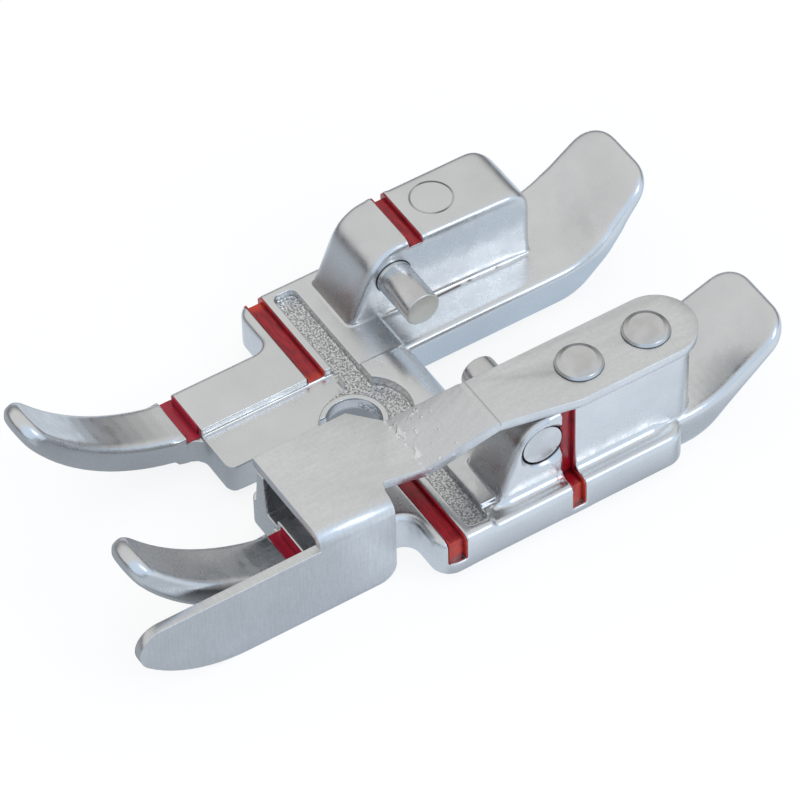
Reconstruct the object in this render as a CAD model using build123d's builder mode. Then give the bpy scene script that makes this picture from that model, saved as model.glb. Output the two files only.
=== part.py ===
"""Quarter-inch quilting presser foot with an edge guide, held in the machine by two pins.

Millimetres. The origin is the needle axis on the plane of the sole, +X is the operator's right,
+Y points to the back of the machine and +Z is up.
"""
import os
from math import cos, radians, sin, tan

from build123d import *

# Seam allowance: needle to guide, and needle mark to the front and rear marks
seam = 6.35

# Sole and its levels
base_front = -0.9  # front of the shoulders
base_rear = 12.2
base_corner = 0.95
shoulder_hollow = 0.8
mid_top = 2.14  # flat around the needle
mid_rear = 4.3  # where the flat steps down to the bars
low_top = 1.93  # bars and right ledge
tongue_top = 1.70  # recessed strip in front of the needle, channel and pocket
sole_front = -4.4  # the sole is flat from here to the tails
rim_round = 0.36  # rounded top edge of the base
sole_edge = 0.14  # bevelled bottom edge of the base

# Toes
toe_in = 3.32
toe_out = 5.95
toe_tip_y = -14.1  # top edge at the tip
toe_tip_z = 7.13
toe_tip_thick = 0.9
toe_root_y = -6.6
toe_root_z = 1.88
toe_root_tilt = 13.0
toe_rim_edge = 0.24  # bevels around the toe
toe_sole_edge = 0.3
toe_hollow = 0.6  # inside corner between toe and tongue

# Rear bars and tails
bar_in = 2.45
tail_out = 7.87
tail_tip_in = 3.2
tail_bend = 14.0  # where bar and tail would meet without their rounds
tail_reach = 4.0  # from there to the top edge at the tip
tail_tip_z = 4.8
tail_tip_thick = 0.7
tail_bend_round = 4.0
tail_sole_lead = 0.4  # the sole bends this far in front of the top
tail_sole_bend_round = 2.5
tail_corner = 1.5
tail_rim_round = 0.34  # rounded top edge of bar and tail
tail_edge = 0.17  # bevelled bottom edge

# Raised blocks that carry the pins and the guide
block_in_front = 4.8  # the inner faces come closer together towards the rear
block_in_rear = 4.45
block_right = 7.7  # needle axis to the outer face
block_left = 8.17
ledge_right = 0.92  # how far the base stands out beside the block
ledge_left = 0.73
block_top = 6.0
block_foot = 2.75  # where the slope meets the flat
block_slope = 68.0
block_brow = 2.0  # round between slope and top
block_rear_right = 13.3
block_rear_left = 12.4
block_rear_brow = 1.2
block_corner = 1.2  # upright outer corner at the rear
block_rim_round = 0.32

# Bridge behind the needle, which ties the two halves together
bridge_half = 2.6
bridge_top = 2.3
bridge_rear = 4.5
bridge_round = 1.85

# Needle hole, thread slot, pocket and channel
needle_radius = 1.27
collar_wall = 0.3
slot_half = 0.83
slot_round = 0.45
strip_half = 3.2  # half width of the recessed strip
pocket_y = 0.75
pocket_radius = 2.05
channel_inset = 0.55  # channel end to the side of the base
channel_front = 0.82
channel_rear = 1.95
channel_round = 0.35

# Marks: grooves lined with enamel
mark_width = 0.68
needle_mark_width = 0.88
mark_depth = 0.34
needle_mark_low = 0.75  # where a mark ends on the side of the base
rear_mark_low = 0.5
enamel_floor = 0.08
enamel_wall = 0.06
enamel_shy = 0.03  # the lining stops this far below the metal

# Pins for the foot holder, stepped, pressed through the blocks from outside
pin_y = 5.12
pin_z = 4.28
pin_radius = 0.87
pin_tip = 2.19
pin_free_end = 4.55  # where the free end meets the relief beside the block
pin_relief_radius = 0.68
pin_step = 4.8
pin_shank_radius = 1.05
pin_recess = 0.2
pin_edge = 0.07
pin_sink_radius = 1.3  # cone around the pin's outer end
pin_sink_angle = 90.0
press_gap = 0.01

# Edge guide, bent from sheet
sheet = 0.5
plate_top = 4.4
plate_left = 1.2
plate_front = -5.95
plate_turn = -1.15  # where the left edge turns towards the strip
lower_bend = 0.1
lower_bend_left = 2.6
lower_bend_right = 5.95
upper_bend = 3.05
upper_bend_right = 7.03
strip_left = 4.13
strip_right = 7.87
strip_shoulder = 6.95  # where the strip reaches its full width
strip_end = 13.95
sheet_bend = 0.4  # bend radius at mid thickness
neck_right = 5.53
neck_gap = 0.2
blade_rear = -2.13
blade_low = -0.5
blade_corner = 0.9
blade_turn = 0.75  # outside radius of the bend between plate and blade
nose_start = -9.75
nose_radius = 7.04
nose_sweep = 45.5
nose_tip_radius = 1.17

# Post under the front corner of the plate
post_left = 1.3
post_right = 2.4
post_rear = -2.4
post_draft = 0.3

# Rivets that hold the guide
rivet_y = 8.0
rivet_pitch = 3.55
rivet_head_radius = 1.13
rivet_flat_radius = 0.78
rivet_brow_radius = 1.02  # where the head turns down
rivet_head = 0.32
rivet_shank_radius = 0.6
rivet_depth = 2.4
plug_x = -6.5  # closed hole in the other block
plug_y = 8.33
plug_radius = 1.03
plug_groove = 0.06

# Worked out from the sizes above
beyond = 40.0  # longer than the part, for cutting
level_face = 0.66  # a face whose upright share of the normal is larger counts as top or bottom
rivet_x = (strip_left + strip_right) / 2
strip_top = block_top + sheet
strip_half_width = (strip_right - strip_left) / 2
blade_out = seam + sheet
tongue_front = mark_width / 2 - seam
base_right = block_right + ledge_right
base_left = block_left + ledge_left
tail_tip_y = tail_bend + tail_reach
sides = (
    (1, base_right, low_top, block_right, block_rear_right),
    (-1, base_left, mid_top, block_left, block_rear_left),
)


def band(y, path, shallow, deep):
    """Face across the foot that follows a top, a rounded edge and a side, between two depths below them."""
    x_start, x_side, z_top, z_low, corner = path
    with BuildSketch(Plane.XZ.offset(-y)) as face:
        with BuildLine():
            for depth in (shallow, deep):
                FilletPolyline(
                    (x_start, z_top - depth),
                    (x_side - depth, z_top - depth),
                    (x_side - depth, z_low),
                    radius=max(corner - depth, 0.0),
                )
            Line((x_start, z_top - shallow), (x_start, z_top - deep))
            Line((x_side - shallow, z_low), (x_side - deep, z_low))
        make_face()
    return face.sketch


def handed(form, side):
    """The form itself on the right-hand side, its mirror image on the left."""
    return form if side > 0 else form.mirror(Plane.YZ)


def needle_groove(base_out):
    """Place, width and paths of the needle mark."""
    return 0, needle_mark_width, ((strip_half, base_out, mid_top, needle_mark_low, rim_round),)


def rear_groove(base_out, ledge_top, block_out):
    """Place, width and paths of the rear mark, on the ledge and on the block."""
    ledge_path = (block_out - mark_depth, base_out, ledge_top, rear_mark_low, rim_round)
    block_path = (block_in_rear, block_out, block_top, ledge_top - mark_depth, block_rim_round)
    return seam, mark_width, (ledge_path, block_path)


def lining(y, width, paths):
    """Enamel in a groove on the right-hand side: a floor and two walls."""
    with BuildPart() as enamel:
        for path in paths:
            extrude(band(y, path, mark_depth - enamel_floor, mark_depth), amount=width / 2, both=True)
            for side in (-1, 1):
                wall_y = y + side * (width - enamel_wall) / 2
                extrude(band(wall_y, path, enamel_shy, mark_depth), amount=enamel_wall / 2, both=True)
    return enamel.part


def block(block_out, rear):
    """A raised block on the right-hand side: sloped front, flat top and rounded rims."""
    slope_run = (block_top - mid_top) / tan(radians(block_slope))
    with BuildPart() as form:
        with BuildSketch(Plane.YZ.offset(block_in_rear)):
            with BuildLine():
                FilletPolyline(
                    (block_foot, mid_top),
                    (block_foot + slope_run, block_top),
                    (rear, block_top),
                    (rear, 0),
                    (block_foot, 0),
                    radius=[0, block_brow, block_rear_brow, 0, 0],
                    close=True,
                )
            make_face()
        extrude(amount=block_out - block_in_rear)
        with BuildSketch():
            with BuildLine():
                FilletPolyline(
                    (block_in_front, block_foot),
                    (block_out, block_foot),
                    (block_out, rear),
                    (block_in_rear, rear),
                    radius=[0, 0, block_corner, 0],
                    close=True,
                )
            make_face()
        extrude(amount=block_top, mode=Mode.INTERSECT)
        top = form.faces().sort_by(Axis.Z)[-1]
        fillet(top.edges().filter_by(lambda edge: abs(edge.tangent_at(0.5).Y) > level_face), block_rim_round)
    return form.part


def mid_plate(base_out, ledge_in):
    """Right half of the flat around the needle, with its shoulder."""
    with BuildPart() as form:
        with BuildSketch():
            with BuildLine():
                FilletPolyline(
                    (strip_half, tongue_front),
                    (toe_out, tongue_front),
                    (toe_out, base_front),
                    (base_out, base_front),
                    (base_out, channel_rear),
                    (ledge_in, channel_rear),
                    (ledge_in, mid_rear),
                    (bridge_half, mid_rear),
                    (bridge_half, channel_rear),
                    (strip_half, channel_rear),
                    radius=[0, 0, shoulder_hollow, base_corner, 0, 0, 0, 0, 0, 0],
                    close=True,
                )
            make_face()
        extrude(amount=mid_top)
        outer = form.edges().filter_by(Plane.XY).filter_by(
            lambda edge: edge.center().X > toe_out - 0.01 and edge.center().Y < channel_rear - 0.01
        )
        fillet(outer.group_by(Axis.Z)[-1], rim_round)
        chamfer(outer.group_by(Axis.Z)[0], sole_edge)
    return form.part


def ledge(base_out, ledge_in, ledge_top):
    """Right side of the wide base, which leaves a ledge beside the block."""
    with BuildPart() as form:
        with BuildSketch():
            with BuildLine():
                FilletPolyline(
                    (ledge_in, channel_rear),
                    (base_out, channel_rear),
                    (base_out, base_rear),
                    (ledge_in, base_rear),
                    radius=[0, 0, base_corner, 0],
                    close=True,
                )
            make_face()
        extrude(amount=ledge_top)
        outer = form.edges().filter_by(Plane.XY).filter_by(
            lambda edge: edge.center().X > ledge_in + 0.01 and edge.center().Y > channel_rear + 0.01
        )
        fillet(outer.group_by(Axis.Z)[-1], rim_round)
        chamfer(outer.group_by(Axis.Z)[0], sole_edge)
    return form.part


def pin(block_out):
    """A pin on the right-hand side, along X: free end, relief, and a thicker shank in the block."""
    lengths = (
        (pin_radius, pin_tip, pin_free_end),
        (pin_relief_radius, pin_free_end, pin_step),
        (pin_shank_radius, pin_step, block_out - pin_recess),
    )
    with BuildPart() as form:
        for radius, start, end in lengths:
            with BuildSketch(Plane.YZ.offset(start)):
                with Locations((pin_y, pin_z)):
                    Circle(radius)
            extrude(amount=end - start)
        rims = form.edges().filter_by(GeomType.CIRCLE).group_by(Axis.X)
        chamfer(rims[0] + rims[-1], pin_edge)
    return form.part


# Right toe, curved up like a ski and rounded at its tip
toe_half = (toe_out - toe_in) / 2
toe_heading = (-cos(radians(toe_root_tilt)), sin(radians(toe_root_tilt)))

with BuildPart() as toe:
    with BuildSketch(Plane.YZ.offset(toe_in)):
        with BuildLine():
            over = TangentArc((toe_root_y, toe_root_z), (toe_tip_y, toe_tip_z), tangent=toe_heading)
            tip_heading = over % 1
            toe_under = (over @ 1) - Vector(tip_heading.Y, -tip_heading.X) * toe_tip_thick
            under = TangentArc((sole_front, 0), toe_under, tangent=(-1, 0))
            Line(over @ 1, under @ 1)
            Polyline(over @ 0, (sole_front, toe_root_z), under @ 0)
        make_face()
    extrude(amount=toe_out - toe_in)
    with BuildSketch(
        Plane(
            origin=(toe_in + toe_half, toe_tip_y, toe_tip_z),
            x_dir=(1, 0, 0),
            z_dir=(0, tip_heading.Y, -tip_heading.X),
        )
    ):
        with Locations((0, toe_half)):
            Circle(toe_half)
            Rectangle(2 * toe_half, beyond, align=(Align.CENTER, Align.MIN))
    extrude(amount=beyond, both=True, mode=Mode.INTERSECT)
    for place, edge in ((0, toe_sole_edge), (-1, toe_rim_edge)):
        broad = toe.faces().filter_by(GeomType.CYLINDER).sort_by(SortBy.AREA)[-2:].sort_by(Axis.Z)
        chamfer(broad[place].edges().filter_by(Axis.X, reverse=True), edge)

# Right rear bar with its upswept tail
tail_rise = Vector(tail_tip_y - tail_bend, tail_tip_z - low_top).normalized()
tail_under = Vector(tail_tip_y, tail_tip_z) + Vector(tail_rise.Y, -tail_rise.X) * tail_tip_thick

with BuildPart() as tail:
    with BuildSketch(Plane.YZ.offset(bar_in)):
        with BuildLine():
            over = FilletPolyline(
                (channel_rear, low_top), (tail_bend, low_top), (tail_tip_y, tail_tip_z), radius=tail_bend_round
            )
            under = FilletPolyline(
                (channel_rear, 0), (tail_bend - tail_sole_lead, 0), tail_under, radius=tail_sole_bend_round
            )
            Line(over @ 0, under @ 0)
            Line(over @ 1, under @ 1)
        make_face()
    extrude(amount=tail_out - bar_in)
    with BuildSketch(
        Plane(origin=(0, tail_tip_y, tail_tip_z), x_dir=(1, 0, 0), z_dir=(0, -tail_rise.Y, tail_rise.X))
    ):
        with BuildLine():
            FilletPolyline(
                (bar_in, -beyond),
                (tail_out, -beyond),
                (tail_out, 0),
                (tail_tip_in, 0),
                (bar_in, -tail_reach),
                radius=[0, 0, tail_corner, tail_corner, tail_bend_round],
                close=True,
            )
        make_face()
    extrude(amount=beyond, both=True, mode=Mode.INTERSECT)
    for up, soften, size in ((1, fillet, tail_rim_round), (-1, chamfer, tail_edge)):
        level = tail.faces().filter_by(lambda face: up * face.normal_at().Z > level_face)
        ends = level.edges().filter_by(Axis.X).filter_by(lambda edge: edge.center().Y > tail_tip_y - 0.01)
        soften(level.edges().filter_by(Axis.X, reverse=True) + ends, size)

front_mark_floor = toe_root_z - mark_depth

# Foot without its marks and the holes for the rivets
with BuildPart() as blank:
    # Tongue around the needle, with the hollows towards the toes
    with BuildSketch():
        with BuildLine():
            FilletPolyline(
                (0, tongue_front),
                (toe_in, tongue_front),
                (toe_in, tongue_front - 2 * toe_hollow),
                (toe_in + toe_half, tongue_front - 2 * toe_hollow),
                (toe_in + toe_half, channel_rear),
                (0, channel_rear),
                radius=[0, toe_hollow, 0, 0, 0, 0],
                close=True,
            )
        make_face()
        mirror(about=Plane.YZ)
    extrude(amount=tongue_top)
    # The sole rises towards the toes
    with BuildSketch(Plane.YZ):
        with BuildLine():
            rise = TangentArc((sole_front, 0), toe_under, tangent=(-1, 0))
            Polyline(rise @ 1, (toe_under.X, -mid_top), (sole_front, -mid_top), rise @ 0)
        make_face()
    extrude(amount=base_left, both=True, mode=Mode.SUBTRACT)
    for side, base_out, ledge_top, block_out, block_rear in sides:
        add(handed(toe.part, side))
        add(handed(tail.part, side))
        ledge_in = block_out - rim_round
        add(handed(mid_plate(base_out, ledge_in), side))
        add(handed(ledge(base_out, ledge_in, ledge_top), side))
        add(handed(block(block_out, block_rear), side))
    # Bridge with its rounded back
    with BuildSketch(Plane.YZ):
        with BuildLine():
            FilletPolyline(
                (pocket_y, 0),
                (pocket_y, bridge_top),
                (bridge_rear, bridge_top),
                (bridge_rear, 0),
                radius=[0, 0, bridge_round, 0],
                close=True,
            )
        make_face()
    extrude(amount=bridge_half, both=True)
    # Pocket behind the needle and channel across the flat
    with BuildSketch(Plane.XY.offset(tongue_top)):
        with Locations((0, pocket_y)):
            Circle(pocket_radius)
        with Locations((-base_left + channel_inset, channel_front)):
            RectangleRounded(
                base_left + base_right - 2 * channel_inset,
                channel_rear - channel_front,
                channel_round,
                align=(Align.MIN, Align.MIN),
            )
    extrude(amount=block_top, mode=Mode.SUBTRACT)
    # Collar and hole for the needle, open at the front to the thread slot
    with BuildSketch():
        Circle(needle_radius + collar_wall)
    extrude(amount=mid_top)
    with BuildSketch(Plane.XY.offset(-mid_top)):
        Circle(needle_radius)
        Rectangle(2 * slot_half, 2 * seam, align=(Align.CENTER, Align.MAX))
    extrude(amount=3 * mid_top, mode=Mode.SUBTRACT)
    slot_corners = blank.edges().filter_by(Axis.Z).filter_by_position(
        Axis.Y, tongue_front - 0.01, tongue_front + 0.01
    )
    fillet(slot_corners.filter_by_position(Axis.X, -slot_half - 0.01, slot_half + 0.01), slot_round)
    # Post that holds up the front corner of the guide
    with BuildSketch(Plane.XZ.offset(-tongue_front)):
        with BuildLine():
            Polyline(
                (post_left, 0.5 * tongue_top),
                (post_left + post_draft, plate_top - sheet),
                (post_right - post_draft, plate_top - sheet),
                (post_right, 0.5 * tongue_top),
                close=True,
            )
        make_face()
    extrude(amount=tongue_front - post_rear)
    # Holes for the pins, with a cone around each outer end
    for side, base_out, ledge_top, block_out, block_rear in sides:
        with Locations(Plane(origin=(side * block_out, pin_y, pin_z), z_dir=(side, 0, 0))):
            CounterSinkHole(
                pin_shank_radius + press_gap,
                pin_sink_radius,
                depth=block_out - bar_in,
                counter_sink_angle=pin_sink_angle,
            )

with BuildPart() as foot_body:
    add(blank.part)
    # Grooves of the marks
    with BuildSketch(Plane.XY.offset(front_mark_floor)):
        with Locations((0, -seam)):
            Rectangle(2 * toe_out, mark_width)
    extrude(amount=block_top, mode=Mode.SUBTRACT)
    for side, base_out, ledge_top, block_out, block_rear in sides:
        for y, width, paths in (needle_groove(base_out), rear_groove(base_out, ledge_top, block_out)):
            for path in paths:
                groove = extrude(
                    band(y, path, -mid_top, mark_depth), amount=width / 2, both=True, mode=Mode.PRIVATE
                )
                add(handed(groove, side), mode=Mode.SUBTRACT)
    # Holes for the rivets, and the ring left by the closed hole in the other block
    with BuildSketch(Plane.XY.offset(block_top)):
        with Locations((rivet_x, rivet_y), (rivet_x, rivet_y + rivet_pitch)):
            Circle(rivet_shank_radius + press_gap)
    extrude(amount=-rivet_depth, mode=Mode.SUBTRACT)
    with BuildSketch(Plane.XY.offset(block_top)):
        with Locations((plug_x, plug_y)):
            Circle(plug_radius)
            Circle(plug_radius - plug_groove, mode=Mode.SUBTRACT)
    extrude(amount=-plug_groove, mode=Mode.SUBTRACT)

# Edge guide: strip on the right block, sloped web and plate from one bent sheet
with BuildPart() as edge_guide:
    with BuildSketch(Plane.YZ):
        with BuildLine():
            FilletPolyline(
                (strip_end, strip_top - sheet / 2),
                (upper_bend, strip_top - sheet / 2),
                (lower_bend, plate_top - sheet / 2),
                (plate_front, plate_top - sheet / 2),
                radius=sheet_bend,
            )
        trace(line_width=sheet)
    extrude(amount=strip_right)
    with BuildSketch():
        with BuildLine():
            Polyline(
                (strip_left, strip_end - strip_half_width),
                (strip_left, upper_bend),
                (lower_bend_left, lower_bend),
                (plate_left, plate_turn),
                (plate_left, plate_front),
                (blade_out - blade_turn, plate_front),
                (blade_out - blade_turn, blade_rear),
                (neck_right, blade_rear + neck_gap),
                (lower_bend_right, lower_bend),
                (upper_bend_right, upper_bend),
                (strip_right, strip_shoulder),
                (strip_right, strip_end - strip_half_width),
            )
            ThreePointArc(
                (strip_right, strip_end - strip_half_width),
                (rivet_x, strip_end),
                (strip_left, strip_end - strip_half_width),
            )
        make_face()
    extrude(amount=beyond, mode=Mode.INTERSECT)
    # Bend between plate and blade
    with BuildSketch(Plane.XZ.offset(-plate_front)):
        with BuildLine():
            for radius in (blade_turn, blade_turn - sheet):
                CenterArc((blade_out - blade_turn, plate_top - blade_turn), radius, 0, 90)
            for x, z in ((1, 0), (0, 1)):
                Line(
                    (blade_out - blade_turn * (1 - x), plate_top - blade_turn * (1 - z)),
                    (blade_out - blade_turn * (1 - x) - sheet * x, plate_top - blade_turn * (1 - z) - sheet * z),
                )
        make_face()
    extrude(amount=plate_front - blade_rear)
    # Blade, with a long rounded nose
    with BuildSketch(Plane.YZ.offset(seam)):
        with BuildLine():
            lower = CenterArc((nose_start, blade_low + nose_radius), nose_radius, -90, -nose_sweep)
            nose = JernArc(lower @ 1, lower % 1, nose_tip_radius, nose_sweep - 180)
            FilletPolyline(
                nose @ 1,
                (plate_front, (nose @ 1).Y),
                (plate_front, plate_top - blade_turn),
                (blade_rear, plate_top - blade_turn),
                (blade_rear, blade_low),
                lower @ 0,
                radius=[0, 0, 0, blade_corner],
            )
        make_face()
    extrude(amount=sheet)
    with BuildSketch(Plane.XY.offset(block_top)):
        with Locations((rivet_x, rivet_y), (rivet_x, rivet_y + rivet_pitch)):
            Circle(rivet_shank_radius + press_gap)
    extrude(amount=sheet, mode=Mode.SUBTRACT)

# Rivets: heads with a flat top and a brim bevelled twice, on plain shanks
with BuildPart() as rivet:
    with BuildSketch(Plane.XZ):
        with BuildLine():
            Polyline(
                (0, strip_top + rivet_head),
                (rivet_flat_radius, strip_top + rivet_head),
                (rivet_brow_radius, strip_top + 0.6 * rivet_head),
                (rivet_head_radius, strip_top),
                (rivet_shank_radius, strip_top),
                (rivet_shank_radius, block_top - rivet_depth),
                (0, block_top - rivet_depth),
                close=True,
            )
        make_face()
    revolve(axis=Axis.Z)

with BuildPart() as guide_rivets:
    with Locations((rivet_x, rivet_y), (rivet_x, rivet_y + rivet_pitch)):
        add(rivet.part)

# Enamel that lines the marks
with BuildPart() as front_marks:
    with BuildSketch(Plane.XY.offset(front_mark_floor)):
        with Locations((toe_in + toe_half, -seam)):
            Rectangle(2 * toe_half, mark_width)
    extrude(amount=enamel_floor)
    for side, top in ((-1, toe_root_z), (1, mid_top)):
        with BuildSketch(Plane.XY.offset(front_mark_floor)):
            with Locations((toe_in + toe_half, side * (mark_width - enamel_wall) / 2 - seam)):
                Rectangle(2 * (toe_half - toe_rim_edge), enamel_wall)
        extrude(amount=top - enamel_shy - front_mark_floor)
    mirror(about=Plane.YZ)
with BuildPart() as needle_marks:
    for side, base_out, ledge_top, block_out, block_rear in sides:
        add(handed(lining(*needle_groove(base_out)), side))
    add(blank.part, mode=Mode.INTERSECT)

with BuildPart() as rear_marks:
    for side, base_out, ledge_top, block_out, block_rear in sides:
        add(handed(lining(*rear_groove(base_out, ledge_top, block_out)), side))
    add(blank.part, mode=Mode.INTERSECT)

nodes = {
    "foot_body": foot_body.part,
    "left_pin": handed(pin(block_left), -1),
    "right_pin": pin(block_right),
    "edge_guide": edge_guide.part,
    "guide_rivets": guide_rivets.part,
    "front_marks": front_marks.part,
    "needle_marks": needle_marks.part,
    "rear_marks": rear_marks.part,
}
os.makedirs("parts", exist_ok=True)
for name, part in nodes.items():
    part.label = name
    export_step(part, f"parts/{name}.step")
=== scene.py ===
"""Looks of a quarter-inch quilting presser foot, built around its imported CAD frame."""
import math

import bmesh
import bpy
import numpy as np
from bpy.props import FloatProperty, FloatVectorProperty, IntProperty, PointerProperty
from bpy.types import Operator, Panel, PropertyGroup
from mathutils import Matrix, Vector


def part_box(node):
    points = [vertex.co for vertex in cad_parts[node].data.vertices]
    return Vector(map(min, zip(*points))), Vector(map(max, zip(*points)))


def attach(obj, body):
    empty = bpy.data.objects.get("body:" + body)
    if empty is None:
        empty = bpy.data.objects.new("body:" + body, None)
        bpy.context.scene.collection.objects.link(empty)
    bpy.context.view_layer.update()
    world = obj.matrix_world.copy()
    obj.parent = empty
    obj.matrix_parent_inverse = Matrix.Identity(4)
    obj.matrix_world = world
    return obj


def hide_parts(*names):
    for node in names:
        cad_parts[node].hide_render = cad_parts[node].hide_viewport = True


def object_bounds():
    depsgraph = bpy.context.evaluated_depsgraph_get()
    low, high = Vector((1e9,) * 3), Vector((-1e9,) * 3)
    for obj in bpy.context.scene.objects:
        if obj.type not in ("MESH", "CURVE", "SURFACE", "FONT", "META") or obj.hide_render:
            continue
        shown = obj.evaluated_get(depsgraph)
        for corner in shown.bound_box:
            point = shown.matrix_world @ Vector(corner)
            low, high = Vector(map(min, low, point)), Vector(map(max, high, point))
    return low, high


bl_info = {
    "name": "Quilting presser foot",
    "version": (1, 0, 0),
    "blender": (4, 5, 0),
    "location": "View3D > Sidebar > Presser Foot",
    "description": "Finishes of a presser foot with an edge guide, and the stage it is seen on",
    "category": "Object",
}

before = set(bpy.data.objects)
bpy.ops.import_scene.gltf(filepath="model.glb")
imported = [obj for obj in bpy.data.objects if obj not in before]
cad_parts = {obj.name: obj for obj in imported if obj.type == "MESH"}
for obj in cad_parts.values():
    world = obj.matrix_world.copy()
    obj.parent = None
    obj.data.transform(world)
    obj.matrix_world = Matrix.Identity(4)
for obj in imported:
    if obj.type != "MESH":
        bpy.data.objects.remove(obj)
cad_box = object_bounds()
MM = 0.001

# Places on the casting
flat_top = 2.14 * MM  # flat around the needle
bar_top = 1.93 * MM  # rear bars and right ledge
recess_top = 1.70 * MM  # strip in front of the needle, channel and pocket
channel_front = 0.82 * MM
channel_rear = 1.95 * MM
channel_left = -8.35 * MM
channel_right = 8.07 * MM
needle_radius = 1.27 * MM
rim_radius = 1.57 * MM  # raised rim around the needle hole
pocket_y = 0.75 * MM
pocket_radius = 2.05 * MM
bridge_half = 2.6 * MM
bridge_top = 2.3 * MM
bridge_round = 1.85 * MM
block_foot = 2.75 * MM
block_top = 6.0 * MM
block_right = 7.7 * MM
block_in_front = 4.8 * MM
block_in_rear = 4.45 * MM
block_rear_left = 12.4 * MM
block_rear_right = 13.3 * MM
flat_rear = 4.3 * MM  # where the flat steps down to the bars
toe_root = -6.72 * MM  # behind this the toes carry their marks
tail_root = 13.9 * MM  # behind this the tails are clear of the blocks
ledge_side = 8.15 * MM
ledge_start = 2.4 * MM
ledge_end = 11.6 * MM
mark_front = 6.01 * MM  # rear mark on the blocks
mark_rear = 6.69 * MM
plug_x = -6.5 * MM  # closed hole in the left block
plug_y = 8.33 * MM
plug_radius = 1.0 * MM
stain_left = -4.46 * MM  # stain at the left block's foot
stain_right = -4.36 * MM
stain_top = 2.25 * MM
stain_front = 6.3 * MM
stain_rear = 10.6 * MM
hole_middle = 5.9 * MM  # halfway through a pin's hole

# Places on the marks
front_marks_end = -5.9 * MM
needle_mark_half = 0.5 * MM
strip_half = 3.2 * MM  # half width of the strip in front of the needle
rim_start = 8.0 * MM  # where the marks turn down over the sides
rim_end = 8.5 * MM

# Places on the guide
lower_bend = 0.1 * MM
upper_bend = 3.2 * MM

# Pins and rivets, from the frame
pin_low, pin_high = (Vector(corner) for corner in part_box("left_pin"))
pin_y = (pin_low.y + pin_high.y) / 2
pin_z = (pin_low.z + pin_high.z) / 2
pin_shank = (pin_high.z - pin_low.z) / 2
pin_tip = -pin_high.x
rivet_low, rivet_high = (Vector(corner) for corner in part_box("guide_rivets"))
rivet_head = (rivet_high.x - rivet_low.x) / 2
rivet_x = (rivet_low.x + rivet_high.x) / 2
strip_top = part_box("edge_guide")[1][2]


def inner_face(y, rear):
    """Distance from the middle to a block's inner face, which comes closer towards the rear."""
    return block_in_front - (block_in_front - block_in_rear) * (y - block_foot) / (rear - block_foot)


class FootShape(PropertyGroup):
    """Sizes of the finishing meshes."""

    cast_grain: FloatProperty(
        name="Cast grain",
        description="Voxel size of the softened casting",
        default=0.048 * MM,
        unit="LENGTH",
    )
    cast_soft: IntProperty(
        name="Cast softness",
        description="Rounds of smoothing on the casting's edges",
        default=5,
    )
    cast_keep: FloatProperty(
        name="Casting detail",
        description="Share of the casting's faces that is kept",
        default=0.145,
        subtype="FACTOR",
    )
    worn_soft: IntProperty(
        name="Worn softness",
        description="Rounds of smoothing on toes, tails and the right rim",
        default=48,
    )
    block_soft: IntProperty(
        name="Block softness",
        description="Rounds of smoothing on the blocks' edges",
        default=130,
    )
    foot_fillet: FloatProperty(
        name="Foot fillet",
        description="Hollow at the foot of the right block",
        default=0.45 * MM,
        unit="LENGTH",
    )
    bar_fillet: FloatProperty(
        name="Bar fillet",
        description="Hollow between the blocks and the bars",
        default=0.3 * MM,
        unit="LENGTH",
    )
    bridge_rear: FloatProperty(
        name="Bridge rear",
        description="Rear end of the rounded bridge",
        default=4.95 * MM,
        unit="LENGTH",
    )
    sheet_edge: FloatProperty(
        name="Sheet edge",
        description="Rounding of the guide's cut edges",
        default=0.05 * MM,
        unit="LENGTH",
    )
    pin_radius: FloatProperty(
        name="Pin radius",
        description="Radius of a pin's free end",
        default=0.87 * MM,
        unit="LENGTH",
    )
    pin_neck: FloatProperty(
        name="Pin neck",
        description="Distance from the middle to a pin's neck",
        default=4.5 * MM,
        unit="LENGTH",
    )
    pin_edge: FloatProperty(
        name="Pin edge",
        description="Rounding of the pins' edges",
        default=0.025 * MM,
        unit="LENGTH",
    )
    rivet_flat: FloatProperty(
        name="Rivet flat",
        description="Radius of a rivet's flat top",
        default=0.76 * MM,
        unit="LENGTH",
    )
    rivet_brow: FloatProperty(
        name="Rivet brow",
        description="Radius where a rivet's head turns down",
        default=1.03 * MM,
        unit="LENGTH",
    )
    rivet_shank: FloatProperty(
        name="Rivet shank",
        description="Radius of a rivet's shank",
        default=0.6 * MM,
        unit="LENGTH",
    )
    rivet_edge: FloatProperty(
        name="Rivet edge",
        description="Rounding of the rivet heads",
        default=0.035 * MM,
        unit="LENGTH",
    )


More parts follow.
